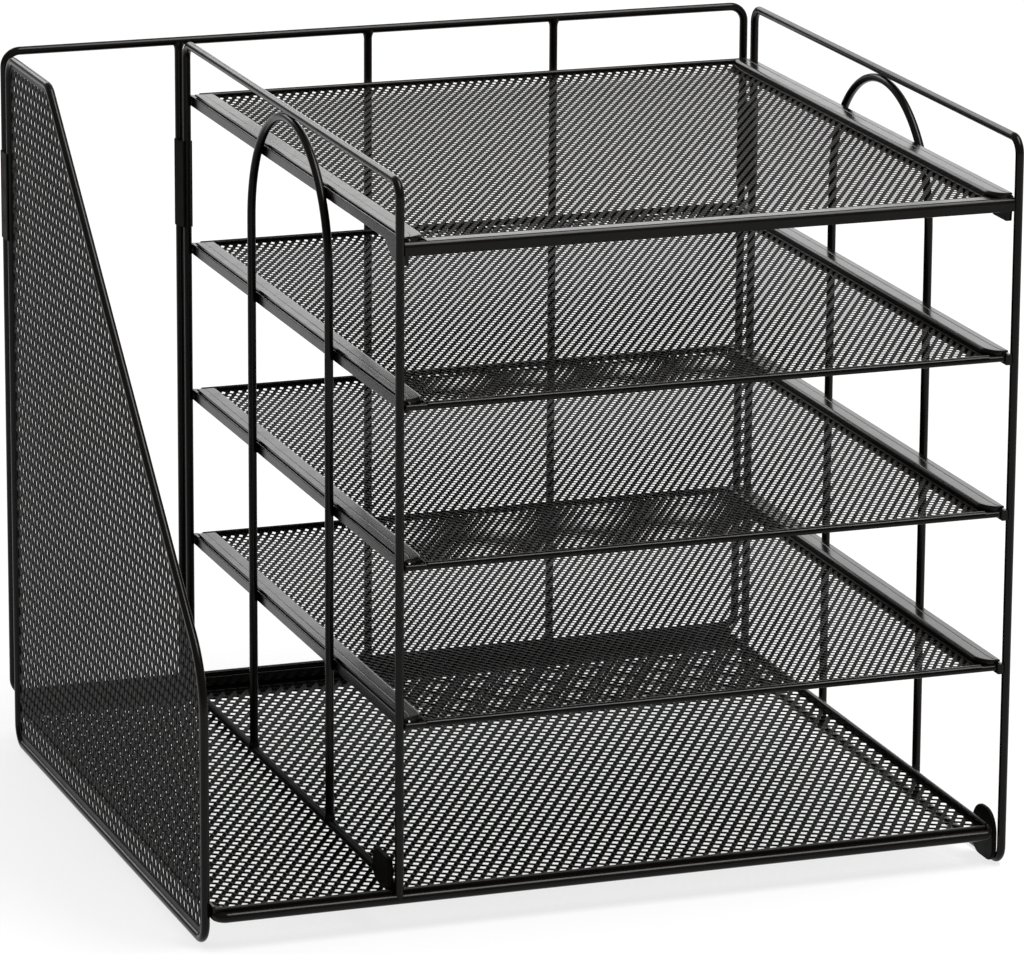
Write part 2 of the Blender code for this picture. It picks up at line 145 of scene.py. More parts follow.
# Tiers
TIERS = (1, 2, 3, 4)
TOP_FLANGE_Z = 301.1
TIER_PITCH = 69.0
TIER_BACK_Y = 146.25
TIER_FRONT_DROP = 3.4
TIER_BACK_DROP = 1.0
TIER_WIRE_END = 5.0
FLANGE_INSET = 2.6
FLANGE_WIDTH = 9.4
FLANGE_FRONT_WIDTH = 3.4
FLANGE_CURVE = 9.0
FLANGE_UNDER = 0.6
WEB_DROP = 3.9
LEDGE_WIDTH = 3.5
SHEET_BEND = 1.1
TIER_SIDE_SMOOTH = 30
GROOVE_AT = 0.38
GROOVE_HALF = 0.35
GROOVE_DEPTH = 0.3
GROOVE_BENDS = [0.2, 0.15, 0.2]

# Mesh floor of a tier, which rises to the back wire
TIER_MESH_PLAY = 0.1
TIER_MESH_BACK = 0.2
TIER_HEM = 1.2
TIER_HEM_HALF = 0.45
TIER_HEM_ENDS = 0.5
BACK_RISE = 1.5
BACK_RISE_LENGTH = 16.0
BACK_RISE_STEPS = 6

# Front strip of the top shelf, with a narrow flange on top
STRIP_HEIGHT = 5.8
STRIP_THICK = 2.4
STRIP_DROP = 2.1
STRIP_EDGE = 0.35
STRIP_STEPS = 14
STRIP_FLANGE = 5.2
STRIP_FLANGE_THICK = 0.7
STRIP_FLANGE_SOFT = 0.3

# Sheet edge rolled over a tray's front wire
FOLD_R = 1.95
FOLD_THICK = 0.6
FOLD_FROM = -20.0
FOLD_TO = 140.0
FOLD_STEPS = 16

# Smoothness of the drawn pieces
WIRE_SIDES = 20
BEND_STEPS = 12
ARCH_STEPS = 48
CLIP_STEPS = 16
SHEET_BEND_STEPS = 5
BEAD_SIDES = 12
BEAD_LEVELS = 8
SMOOTH_ANGLE = 40
SOFT_ANGLE = 28
SHEET_EDGE = 0.3
FOLDED_EDGE_SHARE = 0.3
TINY = 1e-6
LIST_WAY = Vector((1.0, 0.7548777, 0.5698403))

# Ends of wires: a weld's flare, a cut and a rounded end
WELD_REACH = 2.6
WELD_SWELL = 0.32
WELD_SHARES = (0.0, 0.2, 0.4, 0.65, 1.0)
CUT_STATIONS = [(0.0, 0.82), (0.12, 0.94), (0.3, 1.0)]
ROUND_DEGREES = (12, 30, 50, 70, 90)
END_RING = 0.5

# Expanded steel: short and long pitch, half bond lengths, tilt and thickness
COARSE = {"short": 5.69, "long": 9.26, "a": 0.97, "b": 1.66, "tilt": 0.53, "thick": 0.80}
UPRIGHT = {"short": 5.69, "long": 9.26, "a": 0.58, "b": 1.04, "tilt": 0.26, "thick": 0.43}
FINE = {"short": 4.0, "long": 6.564, "a": 0.86, "b": 1.42, "tilt": 0.36, "thick": 0.43}
HEM_HALF = 0.5
HEM_EDGE = 0.2

# Powder coat: noises as scale, detail and roughness, and the part of each noise that counts
COAT_DARK = (0.0040, 0.0032, 0.0025, 1.0)
COAT_LIGHT = (0.0072, 0.0060, 0.0050, 1.0)
BLOTCH = (42.0, 3.0, 0.6)
BLOTCH_RANGE = (0.3, 0.72)
GLOSS = (130.0, 2.0, 0.5)
GLOSS_RANGE = (0.3, 0.7)
PEEL = (1300.0, 2.0, 0.55)
PEEL_DEPTH = 0.00002

# Stage, in metres and watts: lamps as name, place, size and power
WHITE = (1.0, 1.0, 1.0, 1.0)
WORLD_STRENGTH = 0.3
FLOOR_R = 40.0
FLOOR_SIDES = 96
FLOOR_GREY = (0.22, 0.22, 0.22, 1.0)
FLOOR_GLOW = 0.78
FLOOR_ROUGHNESS = 0.9
FLOOR_SPECULAR = 0.1
LAMP_AIM = Vector((0.0, 0.0, 0.15))
LAMPS = (
    ("top", (0.85, -0.55, 2.5), (1.1, 2.2), 76.0),
    ("back", (1.22, 2.3, 0.87), (1.5, 1.5), 10.0),
    ("high", (-0.26, 2.4, 1.4), (1.8, 0.9), 16.0),
)

# Camera, fitted to the photograph without shift
LENS = 224.686
SENSOR = 36.0
YAW = -0.33987248
PITCH = 0.26451941
ROLL = 0.00590391
DISTANCE = 2.80316925
CLIP_END = 50.0
TARGET = Vector((-0.0041025, -0.034906, 0.160))


# Materials

def node(tree, kind, **settings):
    made = tree.nodes.new(kind)
    for name, value in settings.items():
        setattr(made, name, value)
    return made


def noise(tree, coords, scale, detail, rough):
    made = node(tree, "ShaderNodeTexNoise")
    made.inputs["Scale"].default_value = scale
    made.inputs["Detail"].default_value = detail
    made.inputs["Roughness"].default_value = rough
    tree.links.new(coords, made.inputs["Vector"])
    return made.outputs["Fac"]


def spread(tree, value, low, high, out_low, out_high):
    made = node(tree, "ShaderNodeMapRange")
    made.inputs["From Min"].default_value = low
    made.inputs["From Max"].default_value = high
    made.inputs["To Min"].default_value = out_low
    made.inputs["To Max"].default_value = out_high
    tree.links.new(value, made.inputs["Value"])
    return made.outputs["Result"]


def powder_coat(name, rough_low, rough_high, peel, specular):
    """Satin black powder coat: faint blotches, uneven gloss and a fine orange peel."""
    material = bpy.data.materials.new(name)
    material.use_nodes = True
    tree = material.node_tree
    shader = tree.nodes["Principled BSDF"]
    shader.inputs["Specular IOR Level"].default_value = specular
    coords = node(tree, "ShaderNodeTexCoord").outputs["Object"]
    ramp = node(tree, "ShaderNodeValToRGB")
    for stop, position, colour in zip(ramp.color_ramp.elements, BLOTCH_RANGE, (COAT_DARK, COAT_LIGHT)):
        stop.position = position
        stop.color = colour
    tree.links.new(noise(tree, coords, *BLOTCH), ramp.inputs["Fac"])
    tree.links.new(ramp.outputs["Color"], shader.inputs["Base Color"])
    gloss = spread(tree, noise(tree, coords, *GLOSS), *GLOSS_RANGE, rough_low, rough_high)
    tree.links.new(gloss, shader.inputs["Roughness"])
    if peel:
        grain = noise(tree, coords, *PEEL)
        bump = node(tree, "ShaderNodeBump")
        bump.inputs["Strength"].default_value = peel
        bump.inputs["Distance"].default_value = PEEL_DEPTH
        tree.links.new(grain, bump.inputs["Height"])
        tree.links.new(bump.outputs["Normal"], shader.inputs["Normal"])
    return material


WIRE_COAT = powder_coat("wire_coat_black", 0.18, 0.23, peel=0.3, specular=0.13)
SHEET_COAT = powder_coat("sheet_coat_black", 0.18, 0.23, peel=0.3, specular=0.14)
MESH_COAT = powder_coat("mesh_coat_black", 0.3, 0.36, peel=0.0, specular=0.06)
# A less glossy copy of the black coat, which renders darker. On the divider's bottom rail it is painted
# shade: it stands for the shade that the trays above cast there. The ears and clips take it as well, to
# render darker.
LOW_GLOSS_AND_PAINTED_SHADE_COAT = powder_coat("low_gloss_black_and_painted_shade_coat", 0.46, 0.55, peel=0.3, specular=0.03)
COATS = {"wire_coat": WIRE_COAT, "sheet_coat": SHEET_COAT, "mesh_coat": MESH_COAT}


# Placing pieces

def put(node_name, mesh, lift=0.0):
    """Puts a drawn piece in the place of a node, on the node's body."""
    body = node_name[:6] if node_name.startswith("tray_") else "frame"
    piece = bpy.data.objects.new(node_name + "_coated", mesh)
    bpy.context.scene.collection.objects.link(piece)
    piece.matrix_world = Matrix.Translation((0.0, 0.0, lift * MM))
    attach(piece, body)
    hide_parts(node_name)
    return piece


def weigh_normals(mesh):
    """Lets large faces lead the shading, so flat sheet stays flat up to its soft edges."""
    holder = bpy.data.objects.new("holder", mesh)
    bpy.context.scene.collection.objects.link(holder)
    weigh = holder.modifiers.new("weigh", "WEIGHTED_NORMAL")
    weigh.mode = "FACE_AREA"
    weigh.weight = 50
    weigh.keep_sharp = True
    ready = holder.evaluated_get(bpy.context.evaluated_depsgraph_get())
    weighed = bpy.data.meshes.new_from_object(ready)
    name = mesh.name
    bpy.data.objects.remove(holder)
    bpy.data.meshes.remove(mesh)
    weighed.name = name
    return weighed


def settle(shape):
    """Lists points and faces in a fixed order, which Blender's bevel and sphere change from run to run."""
    shape.verts.sort(key=lambda point: point.co.dot(LIST_WAY))
    shape.faces.sort(key=lambda face: face.calc_center_median().dot(LIST_WAY))


def finish(node_name, shape, slot, smooth_angle=SMOOTH_ANGLE, coat=None):
    """Turns a bmesh in millimetres into a smooth shaded piece in metres."""
    settle(shape)
    bmesh.ops.recalc_face_normals(shape, faces=shape.faces)
    bmesh.ops.scale(shape, vec=(MM, MM, MM), verts=shape.verts)
    mesh = bpy.data.meshes.new(node_name + "_coated")
    shape.to_mesh(mesh)
    shape.free()
    mesh.materials.append(coat or COATS[slot])
    for face in mesh.polygons:
        face.use_smooth = True
    mesh.set_sharp_from_angle(angle=math.radians(smooth_angle))
    return put(node_name, weigh_normals(mesh))


# Shapes

def round_corners(points, radii, steps=BEND_STEPS):
    """A path through the points, with an arc of the given radius at each corner."""
    count = len(points)
    path = []
    for index, point in enumerate(points):
        radius = radii[index]
        if radius == 0.0:
            path.append(point.copy())
            continue
        before = (points[index - 1] - point).normalized()
        after = (points[(index + 1) % count] - point).normalized()
        half = before.angle(after) / 2
        reach = radius / math.tan(half)
        middle = point + (before + after).normalized() * (radius / math.sin(half))
        start = point + before * reach - middle
        end = point + after * reach - middle
        sweep = start.angle(end)
        for step in range(steps + 1):
            share = step / steps
            low = math.sin((1 - share) * sweep) / math.sin(sweep)
            high = math.sin(share * sweep) / math.sin(sweep)
            path.append(middle + start * low + end * high)
    return path


def end_stations(kind, radius, sunk):
    """Distances from a wire's end, with the wire's thickness there as a share of the whole."""
    if kind == "weld":
        stations = [(0.0, 1.0 + WELD_SWELL)]
        for share in WELD_SHARES:
            stations.append((sunk + share * WELD_REACH, 1.0 + WELD_SWELL * (1 - share) ** 2))
        return stations + [(sunk + WELD_REACH + END_RING, 1.0)]
    if kind == "flat":
        return CUT_STATIONS + [(CUT_STATIONS[-1][0] + END_RING, 1.0)]
    stations = []
    for degrees in ROUND_DEGREES:
        angle = math.radians(degrees)
        stations.append((radius * (1 - math.cos(angle)), math.sin(angle)))
    return stations + [(radius + END_RING, 1.0)]


def tube(path, radius, normal, closed, ends=("weld", "weld"), sunk=(WIRE_R, WIRE_R), shape=None):
    """A round wire along a path that lies in a plane with the given normal."""
    shape = shape or bmesh.new()
    spots = [(point, 1.0) for point in path]
    if not closed:
        first = (path[1] - path[0]).normalized()
        last = (path[-2] - path[-1]).normalized()
        head = [(path[0] + first * d, k) for d, k in end_stations(ends[0], radius, sunk[0])]
        tail = [(path[-1] + last * d, k) for d, k in end_stations(ends[1], radius, sunk[1])]
        spots = head + spots[1:-1] + tail[::-1]
    count = len(spots)
    rings = []
    for index, (point, swell) in enumerate(spots):
        inward = None
        outward = None
        if closed or index > 0:
            inward = (point - spots[index - 1][0]).normalized()
        if closed or index < count - 1:
            outward = (spots[(index + 1) % count][0] - point).normalized()
        inward = inward or outward
        outward = outward or inward
        along = (inward + outward).normalized()
        side = along.cross(normal).normalized()
        ring = []
        for step in range(WIRE_SIDES):
            angle = 2 * math.pi * step / WIRE_SIDES
            offset = side * (math.cos(angle) * radius * swell)
            offset = offset + normal * (math.sin(angle) * radius * swell)
            ring.append(shape.verts.new(point + offset))
        rings.append(ring)
    spans = count if closed else count - 1
    for index in range(spans):
        first = rings[index]
        second = rings[(index + 1) % count]
        for step in range(WIRE_SIDES):
            after = (step + 1) % WIRE_SIDES
            shape.faces.new((first[step], first[after], second[after], second[step]))
    if not closed:
        shape.faces.new(rings[0])
        shape.faces.new(list(reversed(rings[-1])))
    return shape


def straight(start, end, radius, normal, ends=("weld", "weld"), sunk=(WIRE_R, WIRE_R)):
    return tube([Vector(start), Vector(end)], radius, normal, False, ends, sunk)


def bead(shape, centre, size):
    """A weld bead: a small flattened lump where two pieces meet."""
    turn = Matrix.Translation(Vector(centre)) @ Matrix.Diagonal((*size, 1.0))
    bmesh.ops.create_uvsphere(
        shape, u_segments=BEAD_SIDES, v_segments=BEAD_LEVELS, radius=1.0, matrix=turn,
    )


def soften(shape, width, segments):
    limit = math.radians(SOFT_ANGLE)
    edges = [edge for edge in shape.edges if edge.calc_face_angle(0.0) > limit]
    bmesh.ops.bevel(
        shape, geom=edges, offset=width, offset_type="OFFSET", segments=segments,
        profile=0.5, affect="EDGES", clamp_overlap=True,
    )


def slab(outline, low, high, place, edge=SHEET_EDGE, segments=2):
    """A flat plate with softened edges."""
    shape = bmesh.new()
    under = [shape.verts.new(place(u, v, low)) for u, v in outline]
    over = [shape.verts.new(place(u, v, high)) for u, v in outline]
    shape.faces.new(list(reversed(under)))
    shape.faces.new(over)
    for index in range(len(outline)):
        after = (index + 1) % len(outline)
        shape.faces.new((under[index], under[after], over[after], over[index]))
    bmesh.ops.recalc_face_normals(shape, faces=shape.faces)
    soften(shape, edge, segments)
    return shape


def lay_flat(across, back, up):
    return Vector((across, back, up))


def stand_side(back, up, across):
    return Vector((across, back, up))


def stand_front(across, up, back):
    return Vector((across, back, up))


def arc(centre, radius, start, end, steps=BEND_STEPS):
    points = []
    for step in range(steps + 1):
        angle = start + (end - start) * step / steps
        points.append((centre.x + radius * math.cos(angle), centre.y + radius * math.sin(angle)))
    return points


def rectangle(low_u, high_u, low_v, high_v):
    return [(low_u, low_v), (high_u, low_v), (high_u, high_v), (low_u, high_v)]


def rounded_rectangle(bend, low_u, high_u, low_v, high_v):
    """A rectangle whose first corner is rounded."""
    corner = arc(Vector((low_u + bend, low_v + bend)), bend, math.pi, 1.5 * math.pi)
    return corner + [(high_u, low_v), (high_u, high_v), (low_u, high_v)]


def bent_sheet(line, bends, thick):
    """The section of a folded sheet: a middle line with rounded folds, given a thickness."""
    points = [Vector((u, v, 0.0)) for u, v in line]
    middle = round_corners(points, [0.0] + bends + [0.0], SHEET_BEND_STEPS)
    sides = []
    for index, point in enumerate(middle):
        before = middle[max(index - 1, 0)]
        after = middle[min(index + 1, len(middle) - 1)]
        along = (after - before).normalized()
        sides.append((point, Vector((-along.y, along.x, 0.0)), along))
    half = thick / 2
    edge = thick * FOLDED_EDGE_SHARE
    section = []
    for point, side, along in sides:
        section.append(point + side * half)
    last = sides[-1]
    section[0] = section[0] + sides[0][2] * edge
    section[-1] = section[-1] - last[2] * edge
    section.append(last[0] + last[1] * (half - edge))
    section.append(last[0] - last[1] * (half - edge))
    back = [point - side * half for point, side, along in reversed(sides)]
    back[0] = back[0] - last[2] * edge
    back[-1] = back[-1] + sides[0][2] * edge
    section += back
    section.append(sides[0][0] - sides[0][1] * (half - edge))
    section.append(sides[0][0] + sides[0][1] * (half - edge))
    return [(point.x, point.y) for point in section]


def loft(rings, shape=None):
    """Skins rings of points in a row and closes the two ends."""
    shape = shape or bmesh.new()
    rows = [[shape.verts.new(point) for point in ring] for ring in rings]
    for first, second in zip(rows, rows[1:]):
        for spot in range(len(first)):
            after = (spot + 1) % len(first)
            shape.faces.new((first[spot], first[after], second[after], second[spot]))
    shape.faces.new(rows[0])
    shape.faces.new(list(reversed(rows[-1])))
    return shape


# Expanded steel

def depth_inside(outline, points):
    """How far each point lies inside a convex outline that runs round to the left."""
    depth = numpy.full(len(points), numpy.inf)
    for index, end in enumerate(outline):
        start = numpy.array(outline[index - 1])
        along = numpy.array(end) - start
        size = numpy.hypot(*along)
        if size < TINY:
            continue
        normal = numpy.array((-along[1], along[0])) / size
        depth = numpy.minimum(depth, (points - start) @ normal)
    return depth


def lattice_span(low, high, step):
    """Whole steps from an anchor that cover a stretch."""
    return numpy.arange(math.floor(low / step), math.ceil(high / step) + 1)


def expanded(outline, kind, anchor):
    """Bonds and strands of expanded steel whose bonds lie inside an outline, counted from an anchor.

    The short way of the diamonds runs along u, the long way along v. Strands are
    tilted as the stretching leaves them. Returns points (u, v, w) and faces.
    """
    low = numpy.min(outline, axis=0)
    high = numpy.max(outline, axis=0)
    half_u = kind["short"] / 2
    half_v = kind["long"] / 2
    span_u = lattice_span(low[0] - anchor[0], high[0] - anchor[0], half_u)
    span_v = lattice_span(low[1] - anchor[1], high[1] - anchor[1], half_v)
    columns = len(span_u)
    rows = len(span_v)
    grid_i, grid_j = numpy.meshgrid(span_u, span_v, indexing="ij")
    spot_u = anchor[0] + grid_i * half_u
    spot_v = anchor[1] + grid_j * half_v
    spots = numpy.stack([spot_u.ravel(), spot_v.ravel()], axis=1)
    keep = depth_inside(outline, spots).reshape(columns, rows) >= 0.0
    keep &= (grid_i + grid_j) % 2 == 0
    number = numpy.full((columns, rows), -1)
    number[keep] = numpy.arange(keep.sum())
    centres = numpy.stack([spot_u[keep], spot_v[keep]], axis=1)
    count = len(centres)
    a, b, tilt, half = kind["a"], kind["b"], kind["tilt"], kind["thick"] / 2
    offsets = numpy.array([(-a, 0, tilt), (a, 0, -tilt), (0, b, 0), (0, -b, 0)])
    flat = numpy.zeros((count, 4, 3))
    flat[:, :, :2] = centres[:, None, :]
    flat = (flat + offsets).reshape(-1, 3)
    points = numpy.concatenate([flat + (0, 0, half), flat - (0, 0, half)])
    L, R, T, B = 0, 1, 2, 3
    bonds = numpy.arange(count) * 4
    tops = [numpy.stack([bonds + L, bonds + B, bonds + R, bonds + T], axis=1)]
    rims = []

    def pairs(here, there):
        both = (here >= 0) & (there >= 0)
        return here[both] * 4, there[both] * 4

    one, two = pairs(number[:-1, :-1], number[1:, 1:])
    tops.append(numpy.stack([one + R, two + B, two + L, one + T], axis=1))
    rims.append(numpy.stack([one + R, two + B], axis=1))
    rims.append(numpy.stack([two + L, one + T], axis=1))
    has_up = numpy.zeros(count, bool)
    has_up_back = numpy.zeros(count, bool)
    has_up[one // 4] = True
    has_up_back[two // 4] = True
    one, two = pairs(number[:-1, 1:], number[1:, :-1])
    tops.append(numpy.stack([one + B, two + L, two + T, one + R], axis=1))
    rims.append(numpy.stack([one + B, two + L], axis=1))
    rims.append(numpy.stack([two + T, one + R], axis=1))
    has_down = numpy.zeros(count, bool)
    has_down_back = numpy.zeros(count, bool)
    has_down[one // 4] = True
    has_down_back[two // 4] = True
    rims.append(numpy.stack([bonds + R, bonds + T], axis=1)[~has_up])
    rims.append(numpy.stack([bonds + L, bonds + B], axis=1)[~has_up_back])
    rims.append(numpy.stack([bonds + B, bonds + R], axis=1)[~has_down])
    rims.append(numpy.stack([bonds + T, bonds + L], axis=1)[~has_down_back])
    top = numpy.concatenate(tops)
    rim = numpy.concatenate(rims)
    shift = 4 * count
    walls = numpy.stack([rim[:, 1], rim[:, 0], rim[:, 0] + shift, rim[:, 1] + shift], axis=1)
    faces = numpy.concatenate([top, top[:, ::-1] + shift, walls])
    return points, faces


def hem(ring_at, width, half=HEM_HALF):
    """A solid border: a soft edged strip that runs once round an outline."""
    edge = HEM_EDGE
    section = [
        (edge, half), (width - edge, half), (width, half - edge), (width, edge - half),
        (width - edge, -half), (edge, -half), (0.0, edge - half), (0.0, half - edge),
    ]
    rings = [[(u, v, up) for u, v in ring_at(inset)] for inset, up in section]
    count = len(rings[0])
    points = [point for ring in rings for point in ring]
    faces = []
    for index in range(len(rings)):
        after = (index + 1) % len(rings)
        for spot in range(count):
            beside = (spot + 1) % count
            faces.append((
                index * count + spot, index * count + beside,
                after * count + beside, after * count + spot,
            ))
    return numpy.array(points), numpy.array(faces)


def lip(low_u, high_u, low_v, high_v, low_w, high_w, edge):
    """A straight solid border with a soft edged section, along u."""
    section = [
        (low_v, low_w + edge), (low_v + edge, low_w),
        (high_v - edge, low_w), (high_v, low_w + edge),
        (high_v, high_w - edge), (high_v - edge, high_w),
        (low_v + edge, high_w), (low_v, high_w - edge),
    ]
    count = len(section)
    points = [(u, v, w) for u in (low_u, high_u) for v, w in section]
    faces = [(k, (k + 1) % count, (k + 1) % count + count, k + count) for k in range(count)]
    caps = [(3, 2, 1, 0), (7, 4, 3, 0), (7, 6, 5, 4)]
    faces += caps + [tuple(k + count for k in reversed(cap)) for cap in caps]
    return numpy.array(points), numpy.array(faces)


def mesh_data(name, parts, place):
    """One mesh from lattices and hems, with its flat coordinates placed by a function."""
    points = []
    faces = []
    first = 0
    for part_points, part_faces in parts:
        points.append(part_points)
        faces.append(part_faces + first)
        first += len(part_points)
    flat = numpy.concatenate(points)
    mesh = bpy.data.meshes.new(name)
    mesh.from_pydata((place(flat) * MM).tolist(), [], numpy.concatenate(faces).tolist())
    mesh.materials.append(MESH_COAT)
    return mesh


# Frame

def make_back_frame():
    normal = Vector((0, 1, 0))
    right = RIGHT_X - LOOP_SIDE_SHIFT
    first = DIVIDER_X - UPRIGHT_SHIFT
    corners = [
        Vector((PANEL_X, BACK_Y, BACK_RAIL_Z)),
        Vector((right, BACK_Y, BACK_RAIL_Z)),
        Vector((right, BACK_Y, TOP_Z)),
        Vector((PANEL_X, BACK_Y, TOP_Z)),
    ]
    shape = tube(round_corners(corners, [BEND_R] * 4), WIRE_R, normal, True)
    finish("back_frame_loop", shape, "wire_coat")
    for index in range(UPRIGHTS):
        across = first + index * UPRIGHT_PITCH
        start = (across, BACK_Y, BACK_RAIL_Z)
        end = (across, BACK_Y, TOP_Z)
        shape = straight(start, end, WIRE_R, normal)
        finish("back_upright_%d" % (index + 1), shape, "wire_coat")


def make_arch(node_name, across, rail_z):
    half = ARCH_SPAN / 2
    middle = (FRONT_Y + POST_Y) / 2 - ARCH_SHIFT
    crown = TOP_Z - WIRE_R - ARCH_R - half
    path = [Vector((across, middle - half, rail_z))]
    for step in range(ARCH_STEPS + 1):
        angle = math.pi * (1 - step / ARCH_STEPS)
        back = middle + half * math.cos(angle)
        path.append(Vector((across, back, crown + half * math.sin(angle))))
    path.append(Vector((across, middle + half, rail_z)))
    shape = tube(path, ARCH_R, Vector((1, 0, 0)), False)
    bead(shape, (across, middle, TOP_Z - WIRE_R), ARCH_BEAD)
    finish(node_name, shape, "wire_coat")


def make_side_frames():
    normal = Vector((1, 0, 0))
    corners = [
        Vector((RIGHT_X, FRONT_Y, DESK_Z)),
        Vector((RIGHT_X, POST_Y, DESK_Z)),
        Vector((RIGHT_X, POST_Y, TOP_Z)),
        Vector((RIGHT_X, FRONT_Y, TOP_Z)),
    ]
    shape = tube(round_corners(corners, [BEND_R] * 4), WIRE_R, normal, True)
    finish("right_frame_loop", shape, "wire_coat")
    make_arch("right_arch", RIGHT_X, DESK_Z)
    corners = [
        Vector((DIVIDER_X, FRONT_Y, BASE_BAR_Z)),
        Vector((DIVIDER_X, FRONT_Y, TOP_Z)),
        Vector((DIVIDER_X, POST_Y, TOP_Z)),
        Vector((DIVIDER_X, POST_Y, BASE_BAR_Z)),
    ]
    path = round_corners(corners, [0.0, BEND_R, BEND_R, 0.0])
    shape = tube(path, WIRE_R, normal, False, ("flat", "flat"))
    finish("divider_frame", shape, "wire_coat")
    start = (DIVIDER_X, FRONT_Y + BASE_BAR_R, DIVIDER_RAIL_Z)
    end = (DIVIDER_X, POST_Y - BASE_BAR_R / 2, DIVIDER_RAIL_Z)
    shape = straight(start, end, WIRE_R, normal)
    # The less glossy coat paints the shade of the trays onto the bottom rail.
    finish("divider_bottom_rail", shape, "wire_coat", coat=LOW_GLOSS_AND_PAINTED_SHADE_COAT)
    make_arch("divider_arch", DIVIDER_X, DIVIDER_RAIL_Z)


def panel_ring(inset, foot=0.0):
    """The file bay panel's outline, drawn in from the wire's middle line, and more so at the foot."""
    crest = PANEL_BACK_Y - PANEL_TOP_LENGTH
    slope = Vector((crest - PANEL_FRONT_Y, PANEL_TOP_Z - PANEL_SLOPE_FOOT_Z))
    lean = slope.angle(Vector((0, 1)))
    rise = math.pi / 2 - lean
    foot_z = PANEL_SLOPE_FOOT_Z - inset * math.tan(lean / 2)
    top = crest + inset * math.tan(rise / 2)
    corners = [
        Vector((PANEL_BACK_Y - inset, DESK_Z + inset + foot, 0.0)),
        Vector((PANEL_FRONT_Y + inset, DESK_Z + inset + foot, 0.0)),
        Vector((PANEL_FRONT_Y + inset, foot_z, 0.0)),
        Vector((top, PANEL_TOP_Z - inset, 0.0)),
        Vector((PANEL_BACK_Y - inset, PANEL_TOP_Z - inset, 0.0)),
    ]
    bend = max(PANEL_BEND_R - inset, PANEL_LEAST_BEND)
    bends = [bend, bend, PANEL_SLOPE_BEND_R - inset, bend, bend]
    return [(point.x, point.y) for point in round_corners(corners, bends)]


def make_file_panel():
    path = [Vector((PANEL_X, back, up)) for back, up in panel_ring(0.0)]
    finish("file_panel_rim", tube(path, WIRE_R, Vector((1, 0, 0)), True), "wire_coat")

    # Wider at the foot, partly as a sheet standing for the shade under the base.
    def ring_at(inset):
        return panel_ring(WIRE_R - PANEL_HEM_UNDER + inset, PANEL_FOOT_HEM_AND_SHADE * inset)[::-1]

    def place(flat):
        back, up, proud = flat.T
        return numpy.stack([PANEL_X + proud, back, up], axis=1)

    outline = panel_ring(-PANEL_MESH_PAST)[::-1]
    parts = [expanded(outline, UPRIGHT, (0.0, TOP_Z / 2)), hem(ring_at, PANEL_HEM)]
    put("file_panel_mesh", mesh_data("file_panel_mesh_coated", parts, place))


def make_base():
    normal = Vector((0, 1, 0))
    left = PANEL_X + WIRE_R
    right = RIGHT_X - BASE_RIGHT_INSET
    front = FRONT_Y + BASE_BAR_R - WIRE_R
    bar_right = RIGHT_X - BASE_BAR_END
    round_ends = ("round", "round")
    start = (left, POST_Y, BASE_BAR_Z)
    end = (bar_right, POST_Y, BASE_BAR_Z)
    finish("base_back_bar", straight(start, end, BASE_BAR_R, normal, round_ends), "wire_coat")
    leg = left + BASE_BAR_R - GAP
    corners = [
        Vector((leg, PANEL_FRONT_Y + BASE_BAR_R, BASE_BAR_Z)),
        Vector((leg, front, BASE_BAR_Z)),
        Vector((bar_right, front, BASE_BAR_Z)),
    ]
    path = round_corners(corners, [0.0, BASE_BAR_BEND, 0.0])
    shape = tube(path, BASE_BAR_R, Vector((0, 0, 1)), False, round_ends)
    finish("base_front_bar", shape, "wire_coat")
    floor_front = front + BASE_BAR_R * BASE_FLOOR_UNDER
    floor_back = POST_Y - BASE_BAR_R * BASE_FLOOR_UNDER
    outline = rounded_rectangle(
        BASE_CORNER_R, left - BASE_MESH_PAST_LEFT, right + BASE_MESH_PAST_RIGHT,
        floor_front - BASE_MESH_PAST_ENDS, floor_back + BASE_MESH_PAST_ENDS,
    )

    # Wider on the right, partly as a sheet standing for the right wall's shadow.
    def ring_at(inset):
        bend = BASE_LEAST_BEND + BASE_CORNER_R * inset / BASE_HEM
        return rounded_rectangle(
            bend, left + inset * BASE_HEM_LEFT, right - inset * BASE_HEM_RIGHT_AND_SHADE,
            floor_front + inset, floor_back - inset * BASE_HEM_BACK,
        )

    anchor = ((left + right) / 2 - BASE_MESH_SHIFT, (floor_front + floor_back) / 2)
    lip_front = front + BASE_LIP_FRONT
    lip_back = front + BASE_LIP_BACK
    parts = [
        expanded(outline, COARSE, anchor),
        hem(ring_at, BASE_HEM),
        lip(left, right, lip_front, lip_back, BASE_LIP_LOW, BASE_LIP_HIGH, BASE_LIP_EDGE),
    ]
    lift = BASE_FLOOR_Z + MESH_SHEET / 2
    mesh = mesh_data("base_mesh_coated", parts, lambda p: p + (0, 0, lift))
    put("base_mesh", mesh)
    half = BASE_WALL / 2
    outline = rectangle(right - half, right + half, BASE_FLOOR_Z, BASE_RIM_Z)
    shape = slab(outline, front, POST_Y, stand_front, BASE_RIGHT_WALL_EDGE)
    finish("base_right_wall", shape, "sheet_coat")
    corners = [
        Vector((right, front, BASE_BAR_Z)),
        Vector((right, front, BASE_RIM_Z)),
        Vector((right, POST_Y, BASE_RIM_Z)),
    ]
    path = round_corners(corners, [0.0, BASE_RIM_BEND, 0.0])
    ends = ("round", "weld")
    shape = tube(path, BASE_RIM_R, Vector((1, 0, 0)), False, ends, (0.0, BASE_BAR_R))
    finish("base_right_rim", shape, "wire_coat")
    low = BASE_FLOOR_Z + MESH_SHEET
    outline = rectangle(left, left + BASE_WALL, low, BASE_RIM_Z + BASE_RIM_R)
    finish("base_left_wall", slab(outline, floor_front, floor_back, stand_front), "sheet_coat")
    face = POST_Y + BASE_BAR_R
    outline = rectangle(left, right, BASE_BAR_Z - BASE_BAR_R, BACK_RAIL_Z)
    shape = slab(outline, face, face + BASE_WALL + GAP, stand_front)
    finish("base_back_wall", shape, "sheet_coat")


